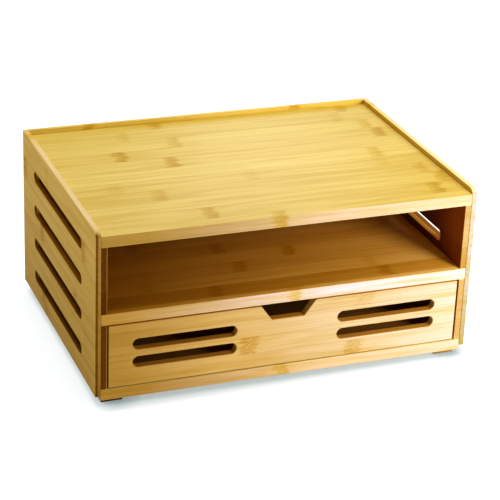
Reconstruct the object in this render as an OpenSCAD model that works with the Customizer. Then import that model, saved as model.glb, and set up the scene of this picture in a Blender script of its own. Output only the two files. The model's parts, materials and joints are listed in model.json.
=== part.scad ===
// Bamboo monitor riser stand: a three-deck carcass with an open bay above a drawer bay, and one drawer.
// Frame: X to the right as seen from the front, Y to the back, Z up, origin on the desk under the middle.

/* [Overall] */
// Width over the outer side panels
width = 350; // [320:5:420]
// Depth from the front edges of the boards to the rear face of the back panel
depth = 245; // [230:5:300]
// Height of the feet
foot_h = 5.6; // [3:0.2:9]
// Side of one square foot
foot_w = 19.4; // [16:0.2:26]
// Distance from a foot to the outside of the stand, at the side and at the front or the back
foot_inset = 7; // [4:1:12]

/* [Boards] */
// Thickness of the top board and of the middle shelf
board_t = 10.5; // [8:0.5:14]
// Thickness of the base board
base_t = 10.5; // [8:0.5:14]
// Thickness of the outer side panels
skin_t = 4.8; // [3:0.2:6]
// Thickness of the back panel
back_t = 3.8; // [3:0.2:6]
// Distance from the underside of the base board up to the lower edges of the side and back panels
panel_lift = 4; // [0:0.5:5]
// Thickness of the uprights that stand between the boards
upright_t = 5.7; // [5:0.1:8]
// Distance from the front of the boards back to the front of the uprights
upright_setback = 0.4; // [0:0.2:4]
// Height of the rim that the side and back panels make round the top board
rim_h = 4.5; // [2:0.1:6]
// Radius of the front top corner of each side panel
corner_r = 7; // [3:0.5:10]

/* [Bays] */
// Clear height of the open bay
upper_bay_h = 61.4; // [54:0.2:90]
// Clear height of the drawer bay
lower_bay_h = 60.8; // [58:0.2:90]

/* [Slots] */
// Height of every slot, in the sides and in the drawer front
slot_h = 10.4; // [8:0.2:12]
// Length of a side slot, end to end
side_slot_len = 161; // [120:1:170]
// Distance from the front of the stand to the front end of the side slots
side_slot_front = 43.4; // [40:0.2:60]
// Distance between the centre lines of neighbouring side slots
side_slot_pitch = 33.4; // [32:0.2:36]
// Length of a drawer slot, end to end
drawer_slot_len = 94.6; // [60:0.2:100]
// Distance from the middle of the drawer front to the near end of its slots
drawer_slot_start = 47.2; // [40:0.2:50]
// Height of the lower drawer slot's centre line above the lower edge of the drawer front
drawer_slot_low = 21.7; // [18:0.1:24]
// Distance between the centre lines of the two drawer slots
drawer_slot_pitch = 16.9; // [14:0.1:18]

/* [Drawer] */
// Thickness of the drawer front
front_t = 8; // [7:0.5:10]
// Thickness of the drawer sides and of the drawer back
box_t = 7; // [6:0.5:9]
// Thickness of the drawer bottom
bottom_t = 3.6; // [3:0.2:5]
// Gap on each side of the drawer
side_gap = 1.4; // [0.8:0.1:2]
// Gap under the drawer
under_gap = 0.6; // [0.4:0.1:1]
// Gap over the drawer front
over_gap = 1.2; // [0.8:0.1:2]
// How much lower the drawer sides are than the drawer front
side_drop = 7; // [4:1:12]
// Width of the finger notch at the upper edge of the drawer front
notch_top_w = 51.4; // [44:0.2:60]
// Width of the finger notch at its floor
notch_low_w = 30.6; // [24:0.2:40]
// Depth of the finger notch
notch_h = 14.2; // [12:0.2:18]

/* [Fasteners] */
// Diameter of the wooden dowels
dowel_d = 3; // [2.5:0.5:4]
// How far a dowel goes into an upright or a drawer side
dowel_deep = 7; // [6:1:9]
// Diameter of the shank of a steel brad
brad_d = 1.2; // [1:0.1:1.4]
// Diameter of the head of a steel brad
brad_head_d = 2.2; // [1.8:0.1:2.6]
// Length of a steel brad
brad_len = 14; // [12:1:16]

/* [Hidden] */
$fn = 40;
eps = 0.01;
fit = 0.05;                                  // play round a dowel or a brad in its hole
past = 1;                                    // how far a cutter runs past the faces that it cuts

base_top = foot_h + base_t;
shelf_low = base_top + lower_bay_h;
shelf_top = shelf_low + board_t;
top_low = shelf_top + upper_bay_h;
top_face = top_low + board_t;
height = top_face + rim_h;
panel_low = foot_h + panel_lift;

front_y = -depth / 2;
back_y = depth / 2;
carcass_back = back_y - back_t;              // rear edge of the boards, where the back panel lies on them
board_w = width - 2 * skin_t;
bay_half = board_w / 2 - upright_t;          // half the clear width of both bays
upright_front = front_y + upright_setback;
upright_mid_x = board_w / 2 - upright_t / 2;

// The four side slots are spread about this height, two for each bay.
side_slot_mid = shelf_low + 6.8;
side_slot_z = [for (i = [-1.5:1:1.5]) side_slot_mid + i * side_slot_pitch];

dowel_y = [-depth / 2 + 25, depth / 2 - 20]; // clear of the slots at both ends
base_dowel_deep = 6;
top_dowel_deep = 7;

drawer_half = bay_half - side_gap;
drawer_low = base_top + under_gap;
drawer_front_h = lower_bay_h - under_gap - over_gap;
drawer_side_h = drawer_front_h - side_drop;
drawer_setback = 0.4;                        // drawer front behind the front of the boards
drawer_y = front_y + drawer_setback;
drawer_back_gap = 1;
drawer_rear = carcass_back - drawer_back_gap;
bottom_lift = 4;                             // drawer bottom above the lower edges of the drawer
groove_deep = 3;
groove_play = 0.2;
drawer_dowel_z = [14, drawer_side_h - 10];   // above the lower edge of the drawer
front_dowel_deep = 5;
side_dowel_deep = 15;
back_dowel_side_deep = 5;
back_dowel_deep = 13;

brad_head_t = 0.6;
back_brad_x = [for (i = [-2:2]) i * (board_w / 2 - 12) / 2];
back_brad_z = [(panel_low + base_top) / 2, shelf_low + board_t / 2, top_low + board_t / 2];
bottom_brad_x = [for (i = [-1:1]) i * (drawer_half - 30)];
bottom_brad_len = 12;

bamboo = [0.90, 0.74, 0.46];
bamboo_edge = [0.66, 0.46, 0.24];
beech = [0.85, 0.72, 0.55];
steel = [0.62, 0.63, 0.65];

// ---- helpers ----

// A block between two corners.
module block(low, high) {
    translate(low) cube(high - low);
}

// The right-hand piece for side 1, its mirror image for side -1.
module on_side(side) {
    if (side > 0) children();
    else mirror([1, 0, 0]) children();
}

// Turns an outline drawn in (Y, Z) into a panel that runs from X = x for t.
module yz_panel(x, t) {
    translate([x, 0, 0]) rotate([90, 0, 90]) linear_extrude(t) children();
}

// A slot with round ends, flat, centred on the origin.
module slot_outline(len, h) {
    square([len - h, h], center = true);
    for (s = [-1, 1]) translate([s * (len - h) / 2, 0]) circle(d = h);
}

// The slots of one side, as an outline in (Y, Z).
module side_slots() {
    for (z = side_slot_z)
        translate([front_y + side_slot_front + side_slot_len / 2, z]) slot_outline(side_slot_len, slot_h);
}

// Upright pins on both sides of the carcass: a run of them from z_low to z_high.
module carcass_pins(r, z_low, z_high) {
    for (s = [-1, 1], y = dowel_y)
        translate([s * upright_mid_x, y, z_low]) cylinder(r = r, h = z_high - z_low);
}

// One brad, its head's face at the origin and its shank along -Z.
module brad(len, play = 0) {
    translate([0, 0, -brad_head_t]) cylinder(d = brad_head_d + 2 * play, h = brad_head_t + play);
    translate([0, 0, -len]) cylinder(d = brad_d + 2 * play, h = len);
}

module back_brads(play = 0) {
    for (x = back_brad_x, z = back_brad_z)
        translate([x, back_y, z]) rotate([-90, 0, 0]) brad(brad_len, play);
}

module bottom_brads(play = 0) {
    for (x = bottom_brad_x)
        translate([x, drawer_rear - box_t / 2, drawer_low + bottom_lift]) rotate([180, 0, 0])
            brad(bottom_brad_len, play);
}

// Pins from the drawer front into the drawer sides.
module front_pins(r) {
    for (s = [-1, 1], z = drawer_dowel_z)
        translate([s * (drawer_half - box_t / 2), drawer_y + front_t - front_dowel_deep, drawer_low + z])
            rotate([-90, 0, 0]) cylinder(r = r, h = front_dowel_deep + side_dowel_deep);
}

// Pins from the drawer sides into the drawer back.
module back_pins(r) {
    for (s = [-1, 1], z = drawer_dowel_z)
        translate([s * (drawer_half - box_t + back_dowel_side_deep), drawer_rear - box_t / 2, drawer_low + z])
            rotate([0, -s * 90, 0]) cylinder(r = r, h = back_dowel_side_deep + back_dowel_deep);
}

// ---- carcass ----

module top_board() {
    color(bamboo) difference() {
        block([-board_w / 2, front_y, top_low], [board_w / 2, carcass_back, top_face]);
        carcass_pins(dowel_d / 2, top_low - past, top_low + top_dowel_deep);
        back_brads(fit);
    }
}

module middle_shelf() {
    color(bamboo) difference() {
        block([-board_w / 2, front_y, shelf_low], [board_w / 2, carcass_back, shelf_top]);
        carcass_pins(dowel_d / 2, shelf_low - past, shelf_top + past);
        back_brads(fit);
    }
}

module base_board() {
    color(bamboo) difference() {
        block([-board_w / 2, front_y, foot_h], [board_w / 2, carcass_back, base_top]);
        carcass_pins(dowel_d / 2, base_top - base_dowel_deep, base_top + past);
        back_brads(fit);
    }
}

// A thin panel over the whole side, with a rounded front top corner.
module side_panel(side) {
    color(bamboo) on_side(side) yz_panel(board_w / 2, skin_t) difference() {
        union() {
            translate([front_y, panel_low]) square([depth, height - panel_low - corner_r]);
            translate([front_y + corner_r, panel_low]) square([depth - corner_r, height - panel_low]);
            translate([front_y + corner_r, height - corner_r]) circle(r = corner_r);
        }
        side_slots();
    }
}

module back_panel() {
    color(bamboo) difference() {
        block([-board_w / 2, carcass_back, panel_low], [board_w / 2, back_y, height]);
        back_brads(fit);
    }
}

module upright_blank(low, high) {
    yz_panel(bay_half, upright_t) difference() {
        translate([upright_front, low]) square([carcass_back - upright_front, high - low]);
        side_slots();
    }
}

module upper_upright(side) {
    color(bamboo_edge) difference() {
        on_side(side) upright_blank(shelf_top, top_low);
        carcass_pins(dowel_d / 2, top_low - dowel_deep, top_low + past);
        carcass_pins(dowel_d / 2, shelf_top - past, shelf_top + dowel_deep);
    }
}

module lower_upright(side) {
    color(bamboo_edge) difference() {
        on_side(side) upright_blank(base_top, shelf_low);
        carcass_pins(dowel_d / 2, shelf_low - dowel_deep, shelf_low + past);
        carcass_pins(dowel_d / 2, base_top - past, base_top + dowel_deep);
    }
}

// One foot: side is -1 or 1 in X, end is -1 at the front and 1 at the back.
module foot(side, end) {
    x = side * (width / 2 - foot_inset - foot_w / 2);
    y = end * (depth / 2 - foot_inset - foot_w / 2);
    color(bamboo_edge) block([x - foot_w / 2, y - foot_w / 2, 0], [x + foot_w / 2, y + foot_w / 2, foot_h]);
}

module top_dowels() {
    color(beech) carcass_pins(dowel_d / 2 - fit, top_low - dowel_deep, top_low + top_dowel_deep);
}

module shelf_dowels() {
    color(beech) carcass_pins(dowel_d / 2 - fit, shelf_low - dowel_deep, shelf_top + dowel_deep);
}

module base_dowels() {
    color(beech) carcass_pins(dowel_d / 2 - fit, base_top - base_dowel_deep, base_top + dowel_deep);
}

// ---- drawer ----

module notch_outline() {
    polygon([
        [-notch_top_w / 2 - eps, drawer_front_h + eps], [-notch_low_w / 2, drawer_front_h - notch_h],
        [notch_low_w / 2, drawer_front_h - notch_h], [notch_top_w / 2 + eps, drawer_front_h + eps]
    ]);
}

module drawer_front_outline() {
    difference() {
        translate([-drawer_half, 0]) square([2 * drawer_half, drawer_front_h]);
        notch_outline();
        for (s = [-1, 1], i = [0, 1])
            translate([s * (drawer_slot_start + drawer_slot_len / 2), drawer_slot_low + i * drawer_slot_pitch])
                slot_outline(drawer_slot_len, slot_h);
    }
}

// The space of the groove that holds the drawer bottom.
module bottom_groove() {
    half = drawer_half - box_t + groove_deep;
    low = drawer_low + bottom_lift;
    block([-half, drawer_y + front_t - groove_deep, low], [half, back_y, low + bottom_t + fit]);
}

module drawer_front() {
    color(bamboo) difference() {
        translate([0, drawer_y + front_t, drawer_low]) rotate([90, 0, 0])
            linear_extrude(front_t) drawer_front_outline();
        bottom_groove();
        front_pins(dowel_d / 2);
    }
}

module drawer_side(side) {
    color(bamboo) difference() {
        on_side(side) block(
            [drawer_half - box_t, drawer_y + front_t, drawer_low],
            [drawer_half, drawer_rear, drawer_low + drawer_side_h]);
        bottom_groove();
        front_pins(dowel_d / 2);
        back_pins(dowel_d / 2);
    }
}

module drawer_back() {
    low = drawer_low + bottom_lift + bottom_t + fit;
    half = drawer_half - box_t;
    color(bamboo) difference() {
        block([-half, drawer_rear - box_t, low], [half, drawer_rear, drawer_low + drawer_side_h]);
        back_pins(dowel_d / 2);
        bottom_brads(fit);
    }
}

module drawer_bottom() {
    half = drawer_half - box_t + groove_deep - groove_play;
    low = drawer_low + bottom_lift;
    color(bamboo) difference() {
        block([-half, drawer_y + front_t - groove_deep + groove_play, low], [half, drawer_rear, low + bottom_t]);
        bottom_brads(fit);
    }
}

module drawer_front_dowels() {
    color(beech) front_pins(dowel_d / 2 - fit);
}

module drawer_back_dowels() {
    color(beech) back_pins(dowel_d / 2 - fit);
}

module back_panel_brads() {
    color(steel) back_brads();
}

module drawer_bottom_brads() {
    color(steel) bottom_brads();
}

// ---- the nodes ----

top_board();
middle_shelf();
base_board();
side_panel(-1);  // left_side_panel
side_panel(1);  // right_side_panel
back_panel();
upper_upright(-1);  // upper_left_upright
upper_upright(1);  // upper_right_upright
lower_upright(-1);  // lower_left_upright
lower_upright(1);  // lower_right_upright
foot(-1, -1);  // foot_front_left
foot(1, -1);  // foot_front_right
foot(-1, 1);  // foot_back_left
foot(1, 1);  // foot_back_right
drawer_front();
drawer_side(-1);  // drawer_left_side
drawer_side(1);  // drawer_right_side
drawer_back();
drawer_bottom();
top_dowels();
shelf_dowels();
base_dowels();
drawer_front_dowels();
drawer_back_dowels();
back_panel_brads();
drawer_bottom_brads();
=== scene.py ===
"""Looks of the bamboo monitor riser: pieces with eased edges cut to the CAD outlines, and solid bamboo shaders."""
import json
import math
import random

import bpy
from mathutils import Matrix, Vector
from mathutils.geometry import tessellate_polygon

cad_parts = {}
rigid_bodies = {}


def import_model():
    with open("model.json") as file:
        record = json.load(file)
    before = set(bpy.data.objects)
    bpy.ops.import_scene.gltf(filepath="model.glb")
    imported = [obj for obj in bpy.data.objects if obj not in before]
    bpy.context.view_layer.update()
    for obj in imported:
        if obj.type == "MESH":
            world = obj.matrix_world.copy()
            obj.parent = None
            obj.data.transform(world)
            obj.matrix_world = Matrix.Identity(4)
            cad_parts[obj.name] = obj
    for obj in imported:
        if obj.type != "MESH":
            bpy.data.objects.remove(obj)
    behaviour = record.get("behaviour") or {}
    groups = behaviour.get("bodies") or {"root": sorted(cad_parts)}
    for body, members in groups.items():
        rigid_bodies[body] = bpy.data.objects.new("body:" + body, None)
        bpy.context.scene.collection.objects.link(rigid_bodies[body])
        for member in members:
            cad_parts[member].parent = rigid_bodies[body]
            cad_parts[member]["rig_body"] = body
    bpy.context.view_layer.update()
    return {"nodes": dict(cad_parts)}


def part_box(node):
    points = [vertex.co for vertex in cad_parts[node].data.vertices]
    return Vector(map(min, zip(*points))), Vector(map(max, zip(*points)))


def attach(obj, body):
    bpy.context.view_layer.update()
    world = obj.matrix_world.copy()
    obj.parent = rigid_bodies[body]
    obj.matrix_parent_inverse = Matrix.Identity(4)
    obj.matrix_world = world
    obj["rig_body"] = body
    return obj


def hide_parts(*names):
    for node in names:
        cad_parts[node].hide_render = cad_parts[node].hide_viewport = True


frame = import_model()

MM = 0.001
X, Y, Z = 0, 1, 2

# ---------------------------------------------------------------- shader tools


class Tree:
    """A material's node tree, with short calls for the nodes that the bamboo needs."""

    MIX_INPUTS, MIX_OUTPUT = (0, 6, 7), 2  # a Mix node's sockets for its factor and two colours, and for the result

    def __init__(self, tree):
        self.tree = tree

    def node(self, kind, **settings):
        made = self.tree.nodes.new(kind)
        for name, value in settings.items():
            setattr(made, name, value)
        return made

    def feed(self, socket, value):
        """Links a socket to another one, or sets it to a plain value."""
        if isinstance(value, bpy.types.NodeSocket):
            self.tree.links.new(value, socket)
        else:
            socket.default_value = value

    def math(self, operation, *values):
        made = self.node("ShaderNodeMath", operation=operation)
        for socket, value in zip(made.inputs, values):
            self.feed(socket, value)
        return made.outputs[0]

    def combine(self, x, y, z):
        made = self.node("ShaderNodeCombineXYZ")
        for socket, value in zip(made.inputs, (x, y, z)):
            self.feed(socket, value)
        return made.outputs[0]

    def separate(self, vector):
        made = self.node("ShaderNodeSeparateXYZ")
        self.feed(made.inputs[0], vector)
        return made.outputs

    def noise(self, vector, detail=2.0):
        """Noise from 0 to 1 whose cells are 1 wide in the vector's own units."""
        made = self.node("ShaderNodeTexNoise", noise_dimensions="3D")
        self.feed(made.inputs["Vector"], vector)
        made.inputs["Scale"].default_value = 1.0
        made.inputs["Detail"].default_value = detail
        return made.outputs["Fac"]

    def dice(self, vector):
        """Three random numbers for each whole-number cell."""
        made = self.node("ShaderNodeTexWhiteNoise", noise_dimensions="3D")
        self.feed(made.inputs["Vector"], vector)
        return self.separate(made.outputs["Color"])

    def span(self, value, low, high, to_low=0.0, to_high=1.0, smooth=True):
        """Maps low..high to to_low..to_high, clamped."""
        made = self.node("ShaderNodeMapRange", clamp=True)
        made.interpolation_type = "SMOOTHSTEP" if smooth else "LINEAR"
        for socket, number in zip(made.inputs, (value, low, high, to_low, to_high)):
            self.feed(socket, number)
        return made.outputs[0]

    def mix(self, factor, a, b, blend="MIX"):
        made = self.node("ShaderNodeMix", data_type="RGBA", blend_type=blend)
        for socket, value in zip(self.MIX_INPUTS, (factor, a, b)):
            self.feed(made.inputs[socket], value)
        return made.outputs[self.MIX_OUTPUT]

    def ramp(self, factor, colours):
        """Picks colours[i] for a factor in the i-th equal share of 0..1."""
        made = self.node("ShaderNodeValToRGB")
        self.feed(made.inputs[0], factor)
        stops = made.color_ramp
        stops.interpolation = "CONSTANT"
        while len(stops.elements) < len(colours):
            stops.elements.new(1.0)
        for i, colour in enumerate(colours):
            stops.elements[i].position = i / len(colours)
            stops.elements[i].color = colour
        return made.outputs


def rgb(r, g, b):
    return (r, g, b, 1.0)


def new_material(name):
    """A new material, its node tree and its shader."""
    material = bpy.data.materials.new(name)
    material.use_nodes = True
    return material, Tree(material.node_tree), material.node_tree.nodes["Principled BSDF"]


# ---------------------------------------------------------------- bamboo

KNUCKLE = rgb(0.85, 0.75, 0.10)     # what a knuckle multiplies the wood by
STREAK = rgb(0.85, 0.77, 0.28)      # what a dark fibre multiplies the wood by
DOT = rgb(0.70, 0.56, 0.20)         # what a dot of a knuckle multiplies the wood by
GLUE = rgb(0.76, 0.62, 0.32)        # what a glue line multiplies the wood by
LONGEST = 400.0                     # mm, more than any strip is long
ONE_LAYER = 400.0                   # mm, a layer that is thicker than any board
RIM_FROM = 150.0                    # mm, edges above this height are the rim's
SHIFT_ALONG, SHIFT_ACROSS = 900.0, 300.0    # mm, how far the fibres' pattern shifts from strip to strip
RAGGED = 19.0                       # mm, how far a knuckle's ends run out along the fibres
LEAN = -3.0                         # mm, how far a knuckle leans across a strip
BUMP_STRENGTH, BUMP_HEIGHT = 0.30, 0.12 * MM


def strips_by_chance(count, seed):
    """(first knuckle, knuckle spacing, knuckle strength, tone) for each strip of a board, in mm and shares."""
    dice = random.Random(seed)
    return [
        (dice.uniform(0, 230), dice.uniform(190, 270), dice.uniform(0.2, 1.0), dice.uniform(0.25, 0.75))
        for _ in range(count)
    ]


def bamboo(name, grain, across, strip_w, low_edge, strips, tones, end_grain_and_painted_light, layer_t=5.0, knuckle_l=7.0,
           front=None, sweep=None, painted_light_y=None, edges=None, back_end=None, lines=(), dotted=0.0, gloss=0.16):
    """Solid laminated bamboo: strips strip_w wide, side by side along the across axis from low_edge, in mm.

    grain is the axis that the fibres run along. strips lists each strip as strips_by_chance does, where a first
    knuckle is a place on the grain axis. tones are the darkest and the lightest strip. layer_t is the thickness of a
    layer of strips, and knuckle_l about half of a knuckle's length, in mm. dotted is how much of a knuckle is dots
    rather than a patch, and gloss is how much the lacquer reflects.

    The rest are colours that the wood is multiplied by. end_grain_and_painted_light is for cut ends: darker end
    grain, with painted light on some of them. back_end is for those on the back half. sweep and painted_light_y list
    (place in m, colour) along X and along Y, and front does so along X for the faces across Y alone: these paint
    light and shade into the wood. edges has one for the slots' faces across the strips and one for the rim's, painted
    shade or light in slots and painted light or cut ends on rims. lines lists (low, high, colour) for stripes on the
    faces that look to the front, in mm through the board; a stripe may be a painted highlight.
    """
    material, t, shader = new_material(name)
    place = t.node("ShaderNodeTexCoord")
    axes = t.separate(place.outputs["Object"])
    normals = t.separate(place.outputs["Normal"])
    through = 3 - grain - across
    u, v, w = (t.math("MULTIPLY", axes[i], 1 / MM) for i in (grain, across, through))

    # Which strip and which layer this is, and four chosen and three random numbers for it.
    count = t.math("DIVIDE", t.math("SUBTRACT", v, low_edge), strip_w)
    strip = t.math("FLOOR", count)
    layer = t.math("FLOOR", t.math("DIVIDE", w, layer_t))
    chosen = t.ramp(
        t.math("DIVIDE", t.math("ADD", strip, 0.5), len(strips)),
        [(first / LONGEST + 0.5, pitch / LONGEST, strength, tone) for first, pitch, strength, tone in strips],
    )
    first, pitch, strength = t.separate(chosen["Color"])
    tone = chosen["Alpha"]
    chance = t.dice(t.combine(strip, layer, float(len(strips))))

    # Fibres: long streaks at several widths, shifted from strip to strip.
    fu = t.math("ADD", u, t.math("MULTIPLY", chance[0], SHIFT_ALONG))
    fv = t.math("ADD", v, t.math("MULTIPLY", chance[1], SHIFT_ACROSS))
    fw = t.math("ADD", w, t.math("MULTIPLY", chance[2], SHIFT_ACROSS))

    def fibres(length, width, detail=2.0):
        """Noise drawn out along the grain, with cells of this size in mm."""
        scaled = (t.math("DIVIDE", fu, length), t.math("DIVIDE", fv, width), t.math("DIVIDE", fw, width))
        return t.noise(t.combine(*scaled), detail)

    broad = fibres(95.0, 6.5)
    band = fibres(110.0, 3.2)
    streak = fibres(70.0, 1.1)
    fine = fibres(24.0, 0.4)
    fleck = fibres(6.0, 0.9, 1.0)

    # Knuckles: a warm patch right across the strip, darker towards one end, with ragged ends where fibres run out.
    spacing = t.math("MULTIPLY", pitch, LONGEST)
    start = t.math("MULTIPLY", t.math("SUBTRACT", first, 0.5), LONGEST)
    turns = t.math("ADD", t.math("DIVIDE", t.math("SUBTRACT", u, start), spacing), 0.5)
    off = t.math("MULTIPLY", t.math("SUBTRACT", t.math("FRACT", turns), 0.5), spacing)
    ragged = t.math("MULTIPLY", t.math("SUBTRACT", fibres(30.0, 1.5), 0.5), RAGGED)
    lean = t.math("MULTIPLY", t.math("SUBTRACT", t.math("FRACT", count), 0.5), LEAN)
    place_u = t.math("ADD", t.math("ADD", off, ragged), lean)
    near = t.math("ABSOLUTE", place_u)
    patch = t.span(near, knuckle_l * 0.55, knuckle_l * 1.15, 1.0, 0.0)
    tail = t.span(t.math("ABSOLUTE", off), knuckle_l, knuckle_l * 5.5, 1.0, 0.0)
    core = t.span(t.math("ABSOLUTE", t.math("SUBTRACT", place_u, knuckle_l * 0.35)), 0.6, 3.4, 1.0, 0.0)
    knuckle = t.math("MULTIPLY", patch, strength)
    tail = t.math("MULTIPLY", t.math("MULTIPLY", tail, strength), t.span(band, 0.42, 0.66))
    ridge = t.math("MULTIPLY", core, strength)

    # Glue lines between strips, darker along some stretches than along others.
    share = t.math("FRACT", count)
    to_glue = t.math("MULTIPLY", t.math("MINIMUM", share, t.math("SUBTRACT", 1.0, share)), strip_w)
    glue = t.math("MULTIPLY", t.span(to_glue, 0.10, 0.9, 1.0, 0.0), t.span(fibres(90.0, 60.0, 1.0), 0.36, 0.62))

    # Cut ends, where the fibres meet the surface end on.
    end = t.span(t.math("ABSOLUTE", normals[grain]), 0.6, 0.95)
    pores = t.span(fibres(3.0, 0.5, 1.0), 0.52, 0.62)

    def shade(colour, amount, most, by):
        """The colour multiplied by another, by an amount from 0 to 1 times the most that it may be."""
        return t.mix(t.math("MULTIPLY", amount, most), colour, by, "MULTIPLY")

    def tint(axis, stops):
        """A colour that changes along an axis, from (place in m, colour) to the next one."""
        made = stops[0][1]
        for (low, _), (high, to) in zip(stops, stops[1:]):
            made = t.mix(t.span(axes[axis], low, high, smooth=False), made, to)
        return made

    # The strip's own tone, then what darkens the wood.
    colour = t.mix(tone, *tones)
    for fibre, dark, light, most in (
        (broad, 0.36, 0.58, 0.52),
        (band, 0.34, 0.56, 0.40),
        (streak, 0.30, 0.58, 0.26),
        (fine, 0.25, 0.55, 0.22),
    ):
        colour = shade(colour, t.span(fibre, dark, light, 1.0, 0.0), most, STREAK)
    colour = shade(colour, glue, 0.55, GLUE)
    colour = shade(colour, knuckle, 1.0 - 0.55 * dotted, KNUCKLE)
    colour = shade(colour, tail, 0.60, KNUCKLE)
    colour = shade(colour, t.math("MULTIPLY", knuckle, t.span(fleck, 0.46, 0.66)), 0.60, KNUCKLE)
    colour = shade(colour, ridge, 0.60 * (1.0 - dotted), KNUCKLE)
    if dotted:
        dots = t.span(fibres(1.5, 1.1, 1.0), 0.50, 0.58)
        wide = t.span(near, knuckle_l * 0.5, knuckle_l * 1.2, 1.0, 0.0)
        dots = t.math("MULTIPLY", t.math("MULTIPLY", wide, strength), dots)
        colour = shade(colour, dots, dotted, DOT)
    if back_end:
        front_half = t.span(axes[Y], -0.01, 0.01, 1.0, 0.0)
        end_grain_and_painted_light = t.mix(front_half, back_end, end_grain_and_painted_light)
    colour = t.mix(end, colour, t.mix(1.0, colour, end_grain_and_painted_light, "MULTIPLY"))
    colour = shade(colour, t.math("MULTIPLY", end, pores), 0.35, GLUE)

    # Painted light and shade: the tints by place and by which way a face looks.
    if sweep:
        colour = t.mix(1.0, colour, tint(X, sweep), "MULTIPLY")
    if painted_light_y:
        colour = t.mix(1.0, colour, tint(Y, painted_light_y), "MULTIPLY")
    if front:
        faces_y = t.span(t.math("ABSOLUTE", normals[Y]), 0.5, 0.9)
        colour = shade(colour, faces_y, 1.0, tint(X, front))
    if edges:
        narrow = t.span(t.math("ABSOLUTE", normals[across]), 0.5, 0.8)
        colour = shade(colour, narrow, 1.0, t.mix(t.span(v, RIM_FROM - 1.0, RIM_FROM + 1.0), *edges))
    for low, high, stripe in lines:
        inside = t.math("MULTIPLY", t.span(w, low - 0.2, low + 0.2), t.span(w, high - 0.2, high + 0.2, 1.0, 0.0))
        to_front = t.span(normals[Y], -0.9, -0.5, 1.0, 0.0)
        colour = shade(colour, inside, to_front, stripe)
    t.feed(shader.inputs["Base Color"], colour)

    # Fibres and knuckles stand up a little, glue lines are sunk, and cut ends are duller.
    height = t.math("ADD", t.math("MULTIPLY", fine, 0.5), t.math("MULTIPLY", streak, 0.5))
    height = t.math("SUBTRACT", height, t.math("MULTIPLY", glue, 0.5))
    height = t.math("ADD", height, t.math("MULTIPLY", ridge, 0.6))
    bump = t.node("ShaderNodeBump")
    bump.inputs["Strength"].default_value = BUMP_STRENGTH
    bump.inputs["Distance"].default_value = BUMP_HEIGHT
    t.feed(bump.inputs["Height"], height)
    t.feed(shader.inputs["Normal"], bump.outputs[0])
    rough = t.math("ADD", 0.34, t.math("MULTIPLY", streak, 0.16))
    t.feed(shader.inputs["Roughness"], t.math("ADD", rough, t.math("MULTIPLY", end, 0.14)))
    shader.inputs["IOR"].default_value = 1.5
    shader.inputs["Specular IOR Level"].default_value = gloss
    return material


ONE = 400  # mm, a spacing that leaves one knuckle on a strip

# The top board's strips from the front one to the back one: first knuckle, spacing, strength and tone.
TOP_STRIPS = [
    (-12, ONE, 0.70, 0.55),
    (-67, 213, 0.85, 0.50),
    (162, ONE, 0.75, 0.62),
    (-97, 250, 0.50, 0.48),
    (-130, 127, 0.28, 0.62),
    (128, ONE, 0.60, 0.85),
    (-63, ONE, 0.95, 0.62),
    (-104, 257, 1.00, 0.58),
    (-45, 193, 0.62, 0.80),
    (-88, 216, 0.38, 0.60),
    (-50, 193, 0.75, 0.50),
]
# The shelf's strips, from the front one to the back one.
SHELF_STRIPS = [
    (5, 240, 0.60, 0.70),
    (98, 160, 0.80, 0.05),
    (-118, 210, 0.40, 0.70),
    (-25, 230, 0.90, 0.45),
    (30, 220, 1.00, 0.55),
    (-32, 230, 0.90, 0.30),
] + strips_by_chance(7, 5)
# The drawer front's strips, from the lowest to the highest.
DRAWER_STRIPS = [
    (64, ONE, 0.75, 0.50),
    (-36, ONE, 0.90, 0.60),
    (-120, ONE, 0.15, 0.55),
    (73, ONE, 0.35, 0.45),
]
# The darkest and the lightest strip of each kind of board.
TOP_TONES = (rgb(0.62, 0.39, 0.044), rgb(0.76, 0.56, 0.150))
FRONT_TONES = (rgb(0.58, 0.37, 0.070), rgb(0.70, 0.50, 0.128))
SHELF_TONES = (rgb(0.48, 0.20, 0.010), rgb(0.68, 0.36, 0.056))
SIDE_TONES = (rgb(0.455, 0.244, 0.013), rgb(0.80, 0.485, 0.084))
LEFT_UPRIGHT_TONES = (rgb(0.27, 0.060, 0.004), rgb(0.35, 0.088, 0.008))
# The right upright's tones are a darker copy of the left's: painted shade on its inner wall.
RIGHT_UPRIGHT_PAINTED_SHADE_TONES = (rgb(0.21, 0.040, 0.004), rgb(0.27, 0.058, 0.008))
BACK_TONES = (rgb(0.66, 0.43, 0.060), rgb(0.76, 0.53, 0.090))
# The drawer box's tones are dark: painted shade inside the drawer.
BOX_PAINTED_SHADE_TONES = (rgb(0.17, 0.066, 0.010), rgb(0.235, 0.098, 0.018))
# What the front faces' wood is multiplied by at places along X, in m: painted light and sheen that pale the wood to
# the right, and painted shade that darkens it to the left. On the shelf's front all of it is painted light.
TOP_FRONT_PAINTED_LIGHT = [(-0.13, rgb(0.80, 0.61, 0.38)), (0.0, rgb(0.98, 0.94, 2.5)), (0.15, rgb(0.97, 0.93, 3.2))]
BASE_FRONT_PAINTED_LIGHT = [(-0.13, rgb(0.80, 0.58, 0.28)), (0.0, rgb(1.08, 1.06, 2.6)), (0.15, rgb(0.93, 0.94, 2.9))]
SHELF_FRONT_PAINTED_LIGHT = [(-0.15, rgb(1.10, 1.35, 3.2)), (0.0, rgb(1.10, 1.62, 9.0)), (0.13, rgb(0.78, 1.00, 4.0))]
DRAWER_FRONT_PAINTED_LIGHT = [(-0.15, rgb(0.84, 0.64, 0.37)), (-0.06, rgb(1.05, 0.93, 1.25)), (0.04, rgb(0.93, 0.96, 2.4)),
                (0.15, rgb(0.90, 0.93, 3.0))]
FOOT_FRONT_PAINTED_LIGHT = [(-0.14, rgb(0.35, 0.40, 0.5)), (0.05, rgb(1.1, 2.2, 4.0))]
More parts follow.
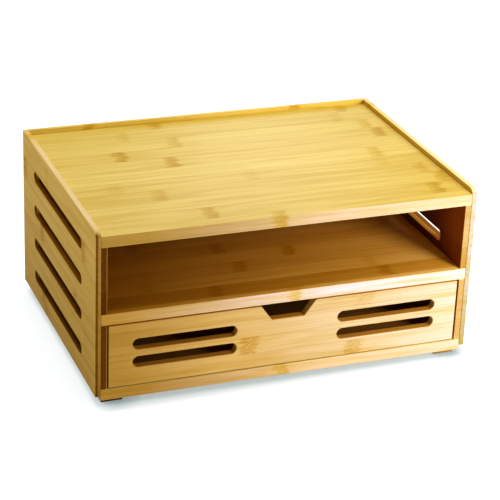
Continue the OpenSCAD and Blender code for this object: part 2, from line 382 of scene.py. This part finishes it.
# What all of a board's wood is multiplied by, at places along X and along Y: painted light and shade. The top is
# darker to the right and towards the back, the shelf darker to the left and towards the back under the top board, and
# the right upright's inner wall darker towards the back.
TOP_PAINTED_LIGHT_X = [(0.0, rgb(1.0, 1.02, 1.08)), (0.16, rgb(0.94, 0.95, 0.88))]
TOP_PAINTED_SHADE_Y = [(0.03, rgb(1, 1, 1)), (0.11, rgb(0.93, 0.93, 0.76))]
SHELF_PAINTED_LIGHT_X = [(-0.16, rgb(0.66, 0.52, 0.18)), (0.16, rgb(1.08, 1.12, 1.5))]
SHELF_PAINTED_LIGHT_Y = [(-0.12, rgb(1.30, 1.40, 1.8)), (-0.08, rgb(1.04, 1.04, 1.1)), (-0.04, rgb(0.94, 0.88, 0.88)),
              (0.015, rgb(0.56, 0.43, 0.30))]
RIGHT_UPRIGHT_PAINTED_SHADE_Y = [(-0.105, rgb(1.08, 1.05, 1)), (-0.065, rgb(0.45, 0.45, 0.6))]
# What cut ends, the faces of slots and the rim's top multiply the wood by. The slots' colours are painted shade in
# them, and the right upright's is a painted highlight on its slots' lips. The rims' colours are painted light on the
# tops. The right-hand cut ends are darker end grain with painted light that pales them.
CUT = rgb(0.80, 0.66, 0.42)
LEFT_SIDE_CUT, RIGHT_SIDE_CUT_PAINTED_LIGHT = rgb(0.71, 0.63, 1.07), rgb(0.65, 0.93, 5.9)
LEFT_UPRIGHT_CUT, RIGHT_UPRIGHT_CUT_PAINTED_LIGHT = rgb(0.42, 0.52, 0.08), rgb(1.6, 5.2, 18.0)
FOOT_CUT = rgb(0.8, 0.8, 0.8)
SLOT_PAINTED_SHADE, DRAWER_SLOT_PAINTED_SHADE, RIGHT_UPRIGHT_SLOT_PAINTED_LIGHT = rgb(0.50, 0.345, 0.15), rgb(0.80, 0.51, 0.26), rgb(7.0, 16.5, 11.0)
LEFT_RIM_PAINTED_LIGHT, RIGHT_RIM_PAINTED_LIGHT = rgb(1.00, 1.22, 3.7), rgb(1.10, 1.46, 4.5)
# Stripes on the front ends at the left: a dark stripe on the outer part of the panel, and a painted highlight along
# the upright's inner arris.
LEFT_SIDE_LINES = [(-176, -172.8, rgb(0.42, 0.34, 0.05))]
LEFT_UPRIGHT_PAINTED_HIGHLIGHT = [(-165.4, -164, rgb(3.0, 4.5, 25.0))]
# How much the lacquer reflects where it is thinner than elsewhere.
SIDE_GLOSS, UPRIGHT_GLOSS, FOOT_GLOSS = 0.012, 0.04, 0.05


def plain_wood(name):
    """A dowel's wood: one even colour with faint rings."""
    material, t, shader = new_material(name)
    axes = t.separate(t.node("ShaderNodeTexCoord").outputs["Object"])
    scaled = [t.math("MULTIPLY", axis, 1 / MM) for axis in axes]
    grain = t.noise(t.combine(scaled[0], scaled[1], t.math("DIVIDE", scaled[2], 8.0)), 3.0)
    rings = t.mix(t.math("MULTIPLY", grain, 0.6), rgb(0.62, 0.45, 0.26), STREAK, "MULTIPLY")
    t.feed(shader.inputs["Base Color"], rings)
    shader.inputs["Roughness"].default_value = 0.6
    return material


def steel(name):
    """Drawn steel with fine scratches in its roughness."""
    material, t, shader = new_material(name)
    axes = t.separate(t.node("ShaderNodeTexCoord").outputs["Object"])
    scaled = [t.math("MULTIPLY", axis, 4 / MM) for axis in axes]
    t.feed(shader.inputs["Roughness"], t.span(t.noise(t.combine(*scaled), 3.0), 0.3, 0.7, 0.28, 0.45))
    shader.inputs["Base Color"].default_value = rgb(0.56, 0.57, 0.58)
    shader.inputs["Metallic"].default_value = 1.0
    return material


# ---------------------------------------------------------------- pieces cut to the CAD outlines

ARC_STEPS, EASE_STEPS = 4, 3    # how many faces round a corner of an outline, and round an arris


def face_loops(node, axis, high):
    """The outlines of a CAD node's lowest or highest face across an axis: lists of points in the other two, in mm."""
    mesh = frame["nodes"][node].data
    level = max if high else min
    plane = level(v.co[axis] for v in mesh.vertices)
    a, b = (axis + 1) % 3, (axis + 2) % 3

    def key(i):
        co = mesh.vertices[i].co
        return (round(co[a] / MM, 3), round(co[b] / MM, 3))

    edges = set()
    for polygon in mesh.polygons:
        if any(abs(mesh.vertices[i].co[axis] - plane) > 1e-6 for i in polygon.vertices):
            continue
        points = [key(i) for i in polygon.vertices]
        for edge in zip(points, points[1:] + points[:1]):
            if (edge[1], edge[0]) in edges:
                edges.remove((edge[1], edge[0]))
            else:
                edges.add(edge)
    follows = dict(edges)
    loops = []
    while follows:
        start = min(follows)
        loop = [start]
        here = follows.pop(start)
        while here != start:
            loop.append(here)
            here = follows.pop(here)
        loops.append(without_straight_points([Vector(p) for p in loop]))
    return loops


def without_straight_points(loop):
    """The loop without the points that lie on a straight stretch."""
    kept = []
    for i, point in enumerate(loop):
        back = point - loop[i - 1]
        ahead = loop[(i + 1) % len(loop)] - point
        if abs(back.cross(ahead)) > 1e-4 * back.length * ahead.length:
            kept.append(point)
    return kept


def area_of(loop):
    return sum(a.cross(b) for a, b in zip(loop, loop[1:] + loop[:1])) / 2


def round_corners(loop, radius):
    """The loop with an arc in each sharp corner. Corners of arcs that are there already stay."""
    made = []
    for i, point in enumerate(loop):
        back = loop[i - 1] - point
        ahead = loop[(i + 1) % len(loop)] - point
        turn = math.pi - back.angle(ahead)
        if turn < math.radians(30):
            made.append(point)
            continue
        reach = min(radius * math.tan(turn / 2), back.length / 3, ahead.length / 3)
        r = reach / math.tan(turn / 2)
        start = point + back.normalized() * reach
        bisector = (back.normalized() + ahead.normalized()).normalized()
        centre = point + bisector * math.hypot(r, reach)
        sweep = turn if back.cross(ahead) < 0 else -turn
        for step in range(ARC_STEPS + 1):
            spoke = start - centre
            spoke.rotate(Matrix.Rotation(sweep * step / ARC_STEPS, 2))
            made.append(centre + spoke)
    return made


def outward(loop):
    """At each point of a loop, the way out of the solid on the loop's left, and how far an offset by 1 moves it."""
    ways = []
    for i, point in enumerate(loop):
        back, ahead = point - loop[i - 1], loop[(i + 1) % len(loop)] - point
        n1, n2 = Vector((back.y, -back.x)), Vector((ahead.y, -ahead.x))
        facing = (n1 + n2).normalized()
        even = (n1.normalized() + n2.normalized()).normalized()
        ways.append((facing, even / max(0.3, even.dot(n1.normalized()))))
    return ways


def slab(name, node, axis, material, ease, high=True):
    """A piece with the outline of one face of a CAD node, as thick as the node, with arrises rounded by ease mm."""
    low_corner, high_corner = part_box(node)
    low, top = low_corner[axis] / MM, high_corner[axis] / MM
    loops = sorted(face_loops(node, axis, high), key=lambda loop: -abs(area_of(loop)))
    solid = []
    for i, loop in enumerate(loops):
        if (area_of(loop) > 0) != (i == 0):  # the outline runs with the solid on its left, and so do the holes
            loop = loop[::-1]
        solid.append(round_corners(loop, ease * 1.2))
    vertices, normals, faces, rims = [], [], [], {0: [], 1: []}

    def place(point, level):
        co = [0.0, 0.0, 0.0]
        co[axis], co[(axis + 1) % 3], co[(axis + 2) % 3] = level, point[0], point[1]
        return Vector(co)

    for loop in solid:
        soft = min(ease, 0.15 * math.sqrt(abs(area_of(loop))))
        ways = outward(loop)
        rings = []
        for end, face_level, sign in ((0, low, 1), (1, top, -1)):
            # Step 0 is where the arris meets the flat face, and the last step is where it meets the side.
            steps = range(EASE_STEPS + 1) if end == 0 else range(EASE_STEPS, -1, -1)
            for k in steps:
                angle = math.pi / 2 * k / EASE_STEPS
                inset, depth = soft * (1 - math.sin(angle)), soft * (1 - math.cos(angle))
                first = len(vertices)
                for point, (facing, move) in zip(loop, ways):
                    vertices.append(place(point - move * inset, face_level + sign * depth) * MM)
                    normals.append(place(facing * math.sin(angle), -sign * math.cos(angle)))
                ring = list(range(first, len(vertices)))
                rings.append(ring)
                if k == 0:
                    rims[end].append(ring)
        for ring, above in zip(rings, rings[1:]):
            n = len(ring)
            faces += [(ring[i], ring[(i + 1) % n], above[(i + 1) % n], above[i]) for i in range(n)]
    for end in (0, 1):
        order = [i for ring in rims[end] for i in ring]
        flat = [[Vector((vertices[i][(axis + 1) % 3], vertices[i][(axis + 2) % 3], 0)) for i in ring]
                for ring in rims[end]]
        for triangle in tessellate_polygon(flat):
            corners = [order[i] for i in triangle]
            a, b, c = (vertices[i] for i in corners)
            upward = (b - a).cross(c - a)[axis] > 0
            faces.append(corners if upward == bool(end) else corners[::-1])
    mesh = bpy.data.meshes.new(name)
    mesh.from_pydata(vertices, [], faces)
    mesh.validate()
    mesh.polygons.foreach_set("use_smooth", [True] * len(mesh.polygons))
    mesh.normals_split_custom_set_from_vertices([n.normalized() for n in normals])
    piece = bpy.data.objects.new(name, mesh)
    bpy.context.scene.collection.objects.link(piece)
    mesh.materials.append(material)
    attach(piece, frame["nodes"][node]["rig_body"])
    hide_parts(node)
    return piece


# ---------------------------------------------------------------- the stand

BOARD_EASE, PANEL_EASE, THIN_EASE, SHEET_EASE = 0.7, 0.5, 0.4, 0.3  # mm, how round the arrises are


def build_stand():
    top = bamboo("bamboo_top", X, Y, 23.7, -134.6, TOP_STRIPS, TOP_TONES, CUT,
                 front=TOP_FRONT_PAINTED_LIGHT, sweep=TOP_PAINTED_LIGHT_X, painted_light_y=TOP_PAINTED_SHADE_Y)
    shelf = bamboo("bamboo_shelf", X, Y, 21.0, -137.0, SHELF_STRIPS, SHELF_TONES, CUT,
                   front=SHELF_FRONT_PAINTED_LIGHT, sweep=SHELF_PAINTED_LIGHT_X, painted_light_y=SHELF_PAINTED_LIGHT_Y)
    base_strips = [(-5, 240, 0.6, 0.5)] + strips_by_chance(11, 8)
    base = bamboo("bamboo_base", X, Y, 22.0, -132.0, base_strips, FRONT_TONES, CUT, front=BASE_FRONT_PAINTED_LIGHT)

    # The strips of the side panels get lighter towards the top: painted shade that darkens them towards the floor.
    side_strips_painted_shade = [strip[:3] + (0.04 + 0.11 * i,) for i, strip in enumerate(strips_by_chance(9, 21))]

    def side_panel(name, end_grain_and_painted_light, rim_painted_light, lines=()):
        return bamboo(name, Y, Z, 20.0, 0.0, side_strips_painted_shade, SIDE_TONES, end_grain_and_painted_light, ONE_LAYER,
                      edges=(SLOT_PAINTED_SHADE, rim_painted_light), back_end=CUT, lines=lines, gloss=SIDE_GLOSS)

    sides = {
        "left": side_panel("bamboo_left_side", LEFT_SIDE_CUT, LEFT_RIM_PAINTED_LIGHT, LEFT_SIDE_LINES),
        "right": side_panel("bamboo_right_side", RIGHT_SIDE_CUT_PAINTED_LIGHT, RIGHT_RIM_PAINTED_LIGHT),
    }
    upright_strips = strips_by_chance(9, 55)

    def upright(name, tones, end_grain_and_painted_light, edges, lines=(), painted_light_y=None):
        return bamboo(name, Y, Z, 21.0, 3.0, upright_strips, tones, end_grain_and_painted_light, ONE_LAYER,
                      edges=edges, back_end=CUT, lines=lines, painted_light_y=painted_light_y, gloss=UPRIGHT_GLOSS)

    uprights = {
        "left": upright("bamboo_left_upright", LEFT_UPRIGHT_TONES, LEFT_UPRIGHT_CUT, (SLOT_PAINTED_SHADE, LEFT_RIM_PAINTED_LIGHT),
                        lines=LEFT_UPRIGHT_PAINTED_HIGHLIGHT),
        "right": upright("bamboo_right_upright", RIGHT_UPRIGHT_PAINTED_SHADE_TONES, RIGHT_UPRIGHT_CUT_PAINTED_LIGHT, (RIGHT_UPRIGHT_SLOT_PAINTED_LIGHT, CUT),
                         painted_light_y=RIGHT_UPRIGHT_PAINTED_SHADE_Y),
    }
    back = bamboo("bamboo_back", X, Z, 20.0, 0.0, strips_by_chance(9, 34), BACK_TONES, CUT, ONE_LAYER)
    foot = bamboo("bamboo_foot", Y, X, 25.0, -200.0, strips_by_chance(16, 3), LEFT_UPRIGHT_TONES, FOOT_CUT, ONE_LAYER,
                  front=FOOT_FRONT_PAINTED_LIGHT, gloss=FOOT_GLOSS)
    drawer = bamboo("bamboo_drawer_front", X, Z, 17.0, 13.5, DRAWER_STRIPS, FRONT_TONES, CUT, ONE_LAYER,
                    knuckle_l=9.0, front=DRAWER_FRONT_PAINTED_LIGHT, edges=(DRAWER_SLOT_PAINTED_SHADE, CUT), dotted=1.0)
    box = bamboo("bamboo_drawer_box", Y, Z, 20.0, 0.0, strips_by_chance(8, 89), BOX_PAINTED_SHADE_TONES, CUT, ONE_LAYER)
    box_back = bamboo("bamboo_drawer_back", X, Z, 20.0, 0.0, strips_by_chance(8, 13), BOX_PAINTED_SHADE_TONES, CUT, ONE_LAYER)
    floor = bamboo("bamboo_drawer_bottom", X, Y, 22.0, -132.0, strips_by_chance(12, 77), BOX_PAINTED_SHADE_TONES, CUT, ONE_LAYER)

    for name, material in (("top_board", top), ("middle_shelf", shelf), ("base_board", base)):
        slab("bamboo_" + name, name, Z, material, BOARD_EASE, high=name != "base_board")
    for side in ("left", "right"):
        slab(f"bamboo_{side}_side_panel", f"{side}_side_panel", X, sides[side], PANEL_EASE)
        for level in ("upper", "lower"):
            name = f"{level}_{side}_upright"
            slab("bamboo_" + name, name, X, uprights[side], PANEL_EASE)
        for end in ("front", "back"):
            name = f"foot_{end}_{side}"
            slab("bamboo_" + name, name, Z, foot, THIN_EASE)
        slab(f"bamboo_drawer_{side}_side", f"drawer_{side}_side", Y, box, PANEL_EASE)
    slab("bamboo_back_panel", "back_panel", Y, back, THIN_EASE)
    slab("bamboo_drawer_front", "drawer_front", Y, drawer, BOARD_EASE, high=False)
    slab("bamboo_drawer_back", "drawer_back", Y, box_back, PANEL_EASE)
    slab("bamboo_drawer_bottom", "drawer_bottom", Z, floor, SHEET_EASE)

    # The dowels and brads keep the CAD's own shapes.
    dowels, brads = plain_wood("dowel_wood"), steel("brad_steel")
    for name, node in frame["nodes"].items():
        if name.endswith(("dowels", "brads")):
            node.data.materials.clear()
            node.data.materials.append(dowels if name.endswith("dowels") else brads)


# ---------------------------------------------------------------- studio

CAMERA_AT = Vector((-557.2, -1443.2, 776.5))  # mm
CAMERA_YAW, CAMERA_PITCH, CAMERA_ROLL = 21.432, -24.452, 2.371  # degrees
LENS, SENSOR = 131.89, 36.0  # mm
WORLD_COLOUR, WORLD_STRENGTH = rgb(0.94, 0.97, 1.0), 0.20
GROUND_SIZE = 40            # m
# The ground glows, except in a narrow shadow along the front, where the stand is close by in one direction.
SHADOW_REACH = 17 * MM
SHADOW_WAY = (-0.70, 0.62, 0.50)
SHADOW_FULL, SHADOW_NONE = 0.20, 0.92   # how much of the way is open
FLOOR_SHADED, FLOOR_CLEAR = rgb(0.13, 0.17, 0.19), rgb(0.60, 0.60, 0.60)
GLOW_SHADED, GLOW_CLEAR, GLOW_STRENGTH = rgb(0.17, 0.26, 0.30), rgb(0.88, 0.96, 1.0), 0.70


def camera():
    data = bpy.data.cameras.new("camera")
    data.lens, data.sensor_width = LENS, SENSOR
    made = bpy.data.objects.new("camera", data)
    turn = Matrix.Rotation(math.radians(-CAMERA_YAW), 4, "Z")
    tilt = Matrix.Rotation(math.radians(90 + CAMERA_PITCH), 4, "X")
    roll = Matrix.Rotation(math.radians(CAMERA_ROLL), 4, "Z")
    made.matrix_world = Matrix.Translation(CAMERA_AT * MM) @ turn @ tilt @ roll
    bpy.context.scene.collection.objects.link(made)
    bpy.context.scene.camera = made


def softbox(name, at, aim, size, power, colour=(1, 1, 1), spread=180):
    """An area light of power watts at one point, turned to another, in metres. It fans out by spread degrees."""
    data = bpy.data.lights.new(name, "AREA")
    data.shape, data.size, data.size_y = "RECTANGLE", size[0], size[1]
    data.energy, data.color, data.spread = power, colour, math.radians(spread)
    made = bpy.data.objects.new(name, data)
    made.location = at
    made.rotation_euler = (Vector(aim) - Vector(at)).to_track_quat("-Z", "Y").to_euler()
    bpy.context.scene.collection.objects.link(made)


def studio():
    world = bpy.data.worlds.new("studio")
    world.use_nodes = True
    world.node_tree.nodes["Background"].inputs["Color"].default_value = WORLD_COLOUR
    world.node_tree.nodes["Background"].inputs["Strength"].default_value = WORLD_STRENGTH
    bpy.context.scene.world = world
    softbox("key", (0.45, -0.75, 0.33), (0.295, -0.12, 0.07), (0.3, 0.3), 1.75, colour=(1.0, 0.99, 0.97), spread=64)
    softbox("overhead", (0.0, 0.25, 1.7), (0.0, 0.0, 0.1), (1.4, 1.4), 27.0)
    softbox("behind", (0.55, 1.35, 0.72), (0.0, 0.0, 0.16), (0.35, 0.2), 2.1)
    bpy.ops.mesh.primitive_plane_add(size=GROUND_SIZE)
    ground = bpy.context.object
    ground.name = "ground"
    material, t, shader = new_material("ground")
    contact = t.node("ShaderNodeAmbientOcclusion")
    contact.inputs["Distance"].default_value = SHADOW_REACH
    t.feed(contact.inputs["Normal"], t.combine(*SHADOW_WAY))
    clear = t.span(contact.outputs["AO"], SHADOW_FULL, SHADOW_NONE, smooth=False)
    t.feed(shader.inputs["Base Color"], t.mix(clear, FLOOR_SHADED, FLOOR_CLEAR))
    t.feed(shader.inputs["Emission Color"], t.mix(clear, GLOW_SHADED, GLOW_CLEAR))
    shader.inputs["Roughness"].default_value = 0.9
    shader.inputs["Specular IOR Level"].default_value = 0.2
    shader.inputs["Emission Strength"].default_value = GLOW_STRENGTH
    ground.data.materials.append(material)
    bpy.context.scene.view_settings.view_transform = "Standard"


camera()
build_stand()
studio()
